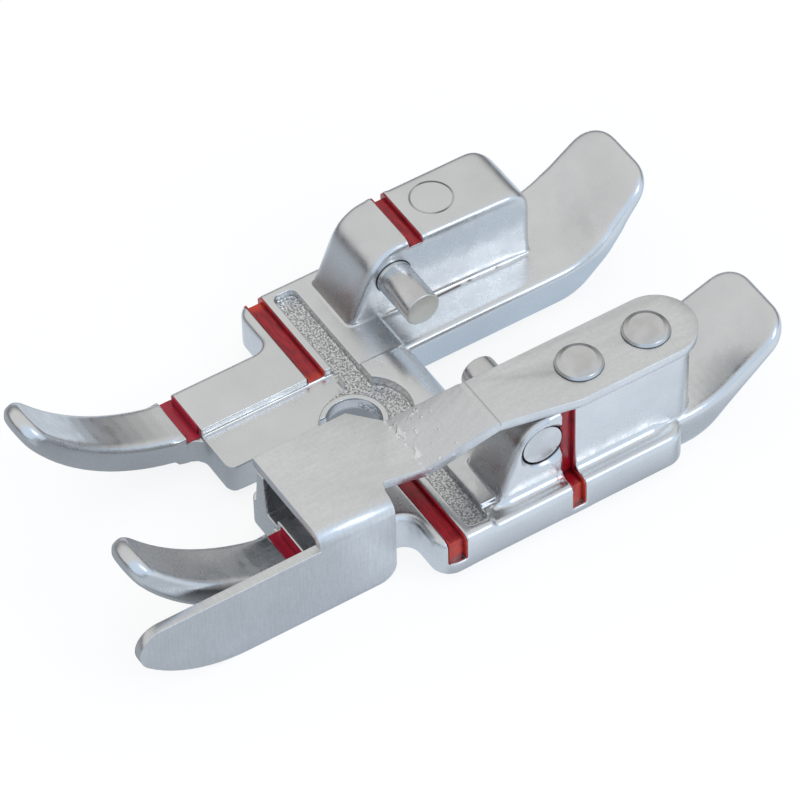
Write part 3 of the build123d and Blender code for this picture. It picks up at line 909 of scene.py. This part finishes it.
class PRESSERFOOT_OT_casting(Operator):
    """Soften the cast body and plate it"""

    bl_idname = "presser_foot.casting"
    bl_label = "Cast body"

    def execute(self, context):
        shape = settings()[0]
        piece = merged_copy("foot_body", "cast_foot")
        for outer, inner, mark in ((ledge_start, 0.8 * MM, mark_front), (ledge_end, -0.8 * MM, mark_rear)):
            run = ((outer, 0.2), (outer + inner, 1.0), (mark, 1.0))
            self.hollow(piece, 1, [(block_right, y, share * shape.foot_fillet) for y, share in run])
        for side, rear in ((-1, block_rear_left), (1, block_rear_right)):
            run = (
                (flat_rear, 0.3),
                (flat_rear + 1.3 * MM, 1.0),
                (rear - 1.2 * MM, 1.0),
                (rear - 0.1 * MM, 0.3),
            )
            places = [(side * inner_face(y, rear), y, share * shape.bar_fillet) for y, share in run]
            self.hollow(piece, -side, places)
            self.plug(piece, side, rear)
        self.bridge(piece, shape.bridge_rear)
        remesh = piece.modifiers.new("Skin", "REMESH")
        remesh.mode = "VOXEL"
        remesh.voxel_size = shape.cast_grain
        smooth = piece.modifiers.new("Soft edges", "SMOOTH")
        smooth.factor = 0.5
        smooth.iterations = shape.cast_soft
        settle(piece, None)
        self.mark_worn(piece)
        worn = piece.modifiers.new("Worn edges", "SMOOTH")
        worn.factor = 0.5
        worn.iterations = shape.worn_soft
        worn.vertex_group = "worn"
        blocks = piece.modifiers.new("Block edges", "SMOOTH")
        blocks.factor = 0.5
        blocks.iterations = shape.block_soft
        blocks.vertex_group = "blocks"
        thin = piece.modifiers.new("Thin", "DECIMATE")
        thin.ratio = shape.cast_keep
        normals = piece.modifiers.new("Even shading", "WEIGHTED_NORMAL")
        normals.keep_sharp = False
        settle(piece, plating_material())
        hand_over(piece, "foot_body")
        return {"FINISHED"}

    def mark_worn(self, piece):
        """Vertex groups of the toes, tails and right rim, and of the blocks, which are rounded the most."""

        def rise(values, start, end):
            share = np.clip((values - start) / (end - start), 0.0, 1.0)
            return share * share * (3.0 - 2.0 * share)

        places = np.empty(3 * len(piece.data.vertices))
        piece.data.vertices.foreach_get("co", places)
        x, y, z = places.reshape(-1, 3).T
        toes = rise(-y, -toe_root, -toe_root + 0.9 * MM)
        tails = 0.7 * rise(y, tail_root, tail_root + 1.3 * MM)
        rim = rise(x, ledge_side, ledge_side + 0.15 * MM)
        mark_middle = (mark_front + mark_rear) / 2
        for middle in (0.0, mark_middle):
            rim = rim * rise(np.abs(y - middle), 0.55 * MM, 0.8 * MM)
        off = np.sqrt((x - ledge_side) ** 2 + (y - channel_rear - 0.2 * MM) ** 2 + (z - bar_top) ** 2)
        corner = 1.0 - rise(off, 0.45 * MM, 0.75 * MM)
        blocks = rise(z, 2.5 * MM, 2.9 * MM) * rise(y, block_foot - 0.4 * MM, block_foot - 0.1 * MM)
        blocks = blocks * ((x < 0.0) | (y < mark_front - 0.7 * MM))
        blocks = blocks * rise(np.abs(y - mark_middle), 0.45 * MM, 0.65 * MM)
        blocks = blocks * rise(np.hypot(y - pin_y, z - pin_z), pin_shank + 0.1 * MM, pin_shank + 0.3 * MM)
        worn = np.maximum.reduce((toes, tails, 0.6 * rim, corner))
        steps = 8
        for name, weight in (("worn", worn), ("blocks", blocks)):
            weight = np.rint(steps * weight).astype(int)
            group = piece.vertex_groups.new(name=name)
            for step in range(1, steps + 1):
                group.add(np.nonzero(weight == step)[0].tolist(), step / steps, "REPLACE")

    def plug(self, piece, side, rear):
        """Closes a pin's hole around its free end, level with the block's inner face."""
        steps = 48
        depth = 0.4 * MM
        radius = pin_shank + 0.15 * MM
        rings = []
        for inset in (0.0, depth):
            ring = []
            for step in range(steps):
                angle = math.tau * step / steps
                y = pin_y + radius * math.cos(angle)
                ring.append((side * (inner_face(y, rear) + inset), y, pin_z + radius * math.sin(angle)))
            rings.append(ring)
        self.join(piece, rings)

    def bridge(self, piece, rear):
        """Rounds the bridge behind the pocket out to its rear end."""
        steps = 14
        low = bridge_top - bridge_round
        ring = [(pocket_y + pocket_radius, low), (pocket_y + pocket_radius, bridge_top)]
        for step in range(steps + 1):
            angle = math.radians(90.0 - 90.0 * step / steps)
            ring.append((rear - bridge_round * (1 - math.cos(angle)), low + bridge_round * math.sin(angle)))
        self.join(piece, [[(x, y, z) for y, z in ring] for x in (-bridge_half, bridge_half)])

    def join(self, piece, rings):
        """Adds a closed prism between two rings of points to a piece."""
        form = bmesh.new()
        form.from_mesh(piece.data)
        first, second = ([form.verts.new(place) for place in ring] for ring in rings)
        faces = [form.faces.new(first), form.faces.new(reversed(second))]
        for at in range(len(first)):
            faces.append(form.faces.new((first[at], first[at - 1], second[at - 1], second[at])))
        bmesh.ops.recalc_face_normals(form, faces=faces)
        form.to_mesh(piece.data)
        form.free()

    def hollow(self, piece, side, places):
        """Adds a hollow on the bars' level along a wall that faces +X or -X, given x, y and radius."""
        steps = 10
        inset = 0.1 * MM
        rings = []
        for x, y, radius in places:
            profile = [(-inset, -inset), (radius, -inset)]
            for step in range(steps + 1):
                angle = math.radians(270.0 - 90.0 * step / steps)
                profile.append((radius * (1 + math.cos(angle)), radius * (1 + math.sin(angle))))
            profile.append((-inset, radius))
            rings.append([(x + side * out, y, bar_top + up) for out, up in profile])
        for first, second in zip(rings, rings[1:]):
            self.join(piece, (first, second))


class PRESSERFOOT_OT_guide(Operator):
    """Round the edges of the guide's sheet and brush it"""

    bl_idname = "presser_foot.guide"
    bl_label = "Edge guide"

    def execute(self, context):
        shape = settings()[0]
        piece = merged_copy("edge_guide", "guide_sheet")
        soften(piece, shape.sheet_edge)
        settle(piece, sheet_material())
        hand_over(piece, "edge_guide")
        return {"FINISHED"}


class PRESSERFOOT_OT_pins(Operator):
    """Turn the two pins, with a collar where they meet the blocks"""

    bl_idname = "presser_foot.pins"
    bl_label = "Pins"

    def execute(self, context):
        shape = settings()[0]
        steel = steel_material()
        for node, side in (("left_pin", -1), ("right_pin", 1)):
            piece = merged_copy(node, f"turned_{node}")
            self.collar(piece, shape, side)
            soften(piece, shape.pin_edge)
            settle(piece, steel)
            hand_over(piece, node)
        return {"FINISHED"}

    def collar(self, piece, shape, side):
        """Fills a pin's neck out to its free end's radius, up to the inside of its hole."""
        length = 0.35 * MM
        place = Matrix.Translation((side * (shape.pin_neck + length / 2), pin_y, pin_z))
        form = bmesh.new()
        form.from_mesh(piece.data)
        bmesh.ops.create_cone(
            form,
            cap_ends=True,
            segments=72,
            radius1=shape.pin_radius,
            radius2=shape.pin_radius,
            depth=length,
            matrix=place @ Matrix.Rotation(math.radians(90.0), 4, "Y"),
        )
        form.to_mesh(piece.data)
        form.free()


class PRESSERFOOT_OT_rivets(Operator):
    """Set the rivets in the guide"""

    bl_idname = "presser_foot.rivets"
    bl_label = "Rivets"

    def execute(self, context):
        shape = settings()[0]
        material = rivet_material()
        mesh = bpy.data.meshes.new("rivet_heads")
        places = [(rivet_x, y, strip_top) for y in (rivet_low.y + rivet_head, rivet_high.y - rivet_head)]
        mesh.from_pydata(places, [], [])
        piece = new_piece("rivet_heads", mesh)
        tree, keys = rivet_tree(material)
        row = piece.modifiers.new("Rivet row", "NODES")
        row.node_group = tree
        row[keys["Flat Radius"]] = shape.rivet_flat
        row[keys["Brow Radius"]] = shape.rivet_brow
        row[keys["Head Radius"]] = rivet_head
        row[keys["Head Height"]] = rivet_high.z - strip_top
        row[keys["Shank Radius"]] = shape.rivet_shank
        row[keys["Shank Length"]] = strip_top - rivet_low.z
        settle(piece, material)
        form = bmesh.new()
        form.from_mesh(piece.data)
        bmesh.ops.recalc_face_normals(form, faces=form.faces)
        form.to_mesh(piece.data)
        form.free()
        soften(piece, shape.rivet_edge, 3)
        settle(piece, material)
        hand_over(piece, "guide_rivets")
        return {"FINISHED"}


class PRESSERFOOT_OT_enamel(Operator):
    """Fill the marks with red enamel"""

    bl_idname = "presser_foot.enamel"
    bl_label = "Red marks"

    def execute(self, context):
        material = enamel_material()
        for node in ("front_marks", "needle_marks", "rear_marks"):
            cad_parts[node].data.materials.clear()
            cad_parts[node].data.materials.append(material)
        return {"FINISHED"}


class PRESSERFOOT_OT_stage(Operator):
    """Set up floor, light and camera"""

    bl_idname = "presser_foot.stage"
    bl_label = "Stage"

    def execute(self, context):
        stage = settings()[2]
        scene = context.scene
        scene.view_settings.view_transform = "Standard"
        self.camera(scene, stage)
        self.floor(stage)
        self.light(scene, stage)
        self.world(scene, stage)
        return {"FINISHED"}

    def camera(self, scene, stage):
        """Camera at the photographed viewpoint."""
        turn = stage.azimuth
        rise = stage.elevation
        right = Vector((math.cos(turn), math.sin(turn), 0.0))
        back = Vector((math.sin(turn) * math.cos(rise), -math.cos(turn) * math.cos(rise), math.sin(rise)))
        up = back.cross(right)
        c = math.cos(stage.roll)
        s = math.sin(stage.roll)
        axis_x = right * c + up * s
        axis_y = up * c - right * s
        data = bpy.data.cameras.new("photo_camera")
        data.lens = stage.lens
        data.sensor_width = 36.0
        data.clip_start = 0.01
        camera = bpy.data.objects.new("photo_camera", data)
        place = Matrix((axis_x, axis_y, back)).transposed().to_4x4()
        place.translation = Vector(stage.target) + back * stage.distance
        camera.matrix_world = place
        scene.collection.objects.link(camera)
        scene.camera = camera

    def floor(self, stage):
        """Pale floor that is white to the camera and in the metal, and keeps the shadow."""
        reach = 0.6
        height = cad_box[0][2]
        corners = [(-reach, -reach, height), (reach, -reach, height), (reach, reach, height)]
        corners.append((-reach, reach, height))
        mesh = bpy.data.meshes.new("floor")
        mesh.from_pydata(corners, [], [(0, 1, 2, 3)])
        floor = new_piece("floor", mesh)
        nodes = new_finish("pale_floor")
        rays = nodes.add("ShaderNodeLightPath").outputs
        metal = nodes.either(rays["Is Glossy Ray"], rays["Is Transmission Ray"])
        # In the metal it is dimmer at the front and far away, with a painted contact shadow close to the
        # right side and painted shade between the bars
        side = cad_box[1][0]
        right = nodes.ramp(nodes.axes["X"], 4.0 * MM, 7.0 * MM)
        rear = nodes.ramp(nodes.axes["Y"], -9.0 * MM, 2.0 * MM, stage.floor_front, 1.0)
        rear = nodes.either(rear, nodes.maths("MULTIPLY", right, 0.6))
        far = nodes.ramp(nodes.reach("Z", 0.0, 0.0), 25.0 * MM, 70.0 * MM, 1.0, 0.2)
        far = nodes.either(far, nodes.both(right, nodes.ramp(nodes.axes["Y"], -8.0 * MM, 4.0 * MM)))
        contact_shadow = nodes.both(
            nodes.between("X", side - 0.3 * MM, side + 1.0 * MM, 0.9 * MM),
            nodes.ramp(nodes.axes["Y"], -1.5 * MM, -0.5 * MM),
        )
        # Painted shade between the bars, with a bluer tint
        gap = nodes.both(
            nodes.between("X", -3.8 * MM, 0.6 * MM, 0.7 * MM),
            nodes.ramp(nodes.axes["Y"], 3.0 * MM, 5.0 * MM),
        )
        dim = nodes.both(
            nodes.maths("MULTIPLY_ADD", contact_shadow, -0.55, 1.0), nodes.maths("MULTIPLY_ADD", gap, -0.24, 1.0)
        )
        shown = nodes.either(rays["Is Camera Ray"], nodes.both(metal, rear, far, dim))
        seen = nodes.either(rays["Is Camera Ray"], metal)
        tint = nodes.mix(gap, stage.floor_cool, stage.floor_blue)
        shaded = [(1.06 - stage.floor_glow) * c for c in stage.floor]
        nodes.set(
            Base_Color=nodes.mix(seen, [0.8 * c for c in stage.floor], shaded),
            Roughness=0.9,
            Specular_IOR_Level=0.0,
            Emission_Color=nodes.mix(metal, stage.floor, tint),
            Emission_Strength=nodes.maths("MULTIPLY", shown, stage.floor_glow),
        )
        mesh.materials.append(nodes.owner)

    def light(self, scene, stage):
        """Soft box on the right, which lights the rounded rims."""
        place = Vector(stage.lamp_place)
        data = bpy.data.lights.new("right_box", "AREA")
        data.shape = "DISK"
        data.size = stage.lamp_size
        data.energy = stage.lamp_power
        lamp = bpy.data.objects.new("right_box", data)
        lamp.location = place
        lamp.rotation_euler = place.to_track_quat("Z", "Y").to_euler()
        scene.collection.objects.link(lamp)

    def world(self, scene, stage):
        """Light room, cooler on the right, with a dark band low on the left."""
        nodes = Nodes(bpy.data.worlds.new("studio"), "Background", "Generated")
        # The limits are parts of a direction of length 1
        rise = nodes.ramp(nodes.axes["Z"], 0.0, 0.6)
        right = nodes.both(nodes.ramp(nodes.axes["X"], 0.05, 0.6), nodes.ramp(nodes.axes["Z"], -0.3, -0.05))
        front = nodes.both(
            nodes.ramp(nodes.axes["Y"], -0.55, -0.15, 1.0, 0.0),
            nodes.ramp(nodes.axes["X"], -0.1, 0.2, 1.0, 0.0),
        )
        room = nodes.mix(rise, stage.horizon, stage.sky)
        lit = nodes.mix(nodes.ramp(nodes.axes["Z"], 0.08, 0.34), stage.horizon, stage.front)
        room = nodes.mix(front, room, lit)
        nodes.set(Color=nodes.mix(right, room, stage.window))
        scene.world = nodes.owner


groups = {"presser_foot_shape": FootShape, "presser_foot_finish": FootFinish, "presser_foot_stage": FootStage}
operators = (
    PRESSERFOOT_OT_casting,
    PRESSERFOOT_OT_guide,
    PRESSERFOOT_OT_pins,
    PRESSERFOOT_OT_rivets,
    PRESSERFOOT_OT_enamel,
    PRESSERFOOT_OT_stage,
)


class PRESSERFOOT_PT_panel(Panel):
    """Lists the pieces of the presser foot"""

    bl_label = "Presser foot"
    bl_space_type = "VIEW_3D"
    bl_region_type = "UI"
    bl_category = "Presser Foot"

    def draw(self, context):
        for operator in operators:
            self.layout.operator(operator.bl_idname)


def register():
    """Registers the settings, the operators and the panel."""
    for cls in (*groups.values(), *operators, PRESSERFOOT_PT_panel):
        bpy.utils.register_class(cls)
    for name, group in groups.items():
        setattr(bpy.types.Scene, name, PointerProperty(type=group))


def unregister():
    """Takes them away again."""
    for name in groups:
        delattr(bpy.types.Scene, name)
    for cls in reversed((*groups.values(), *operators, PRESSERFOOT_PT_panel)):
        bpy.utils.unregister_class(cls)


def main():
    """Finishes every piece and sets the stage."""
    register()
    bpy.ops.presser_foot.casting()
    bpy.ops.presser_foot.guide()
    bpy.ops.presser_foot.pins()
    bpy.ops.presser_foot.rivets()
    bpy.ops.presser_foot.enamel()
    bpy.ops.presser_foot.stage()


if __name__ == "__main__":
    main()
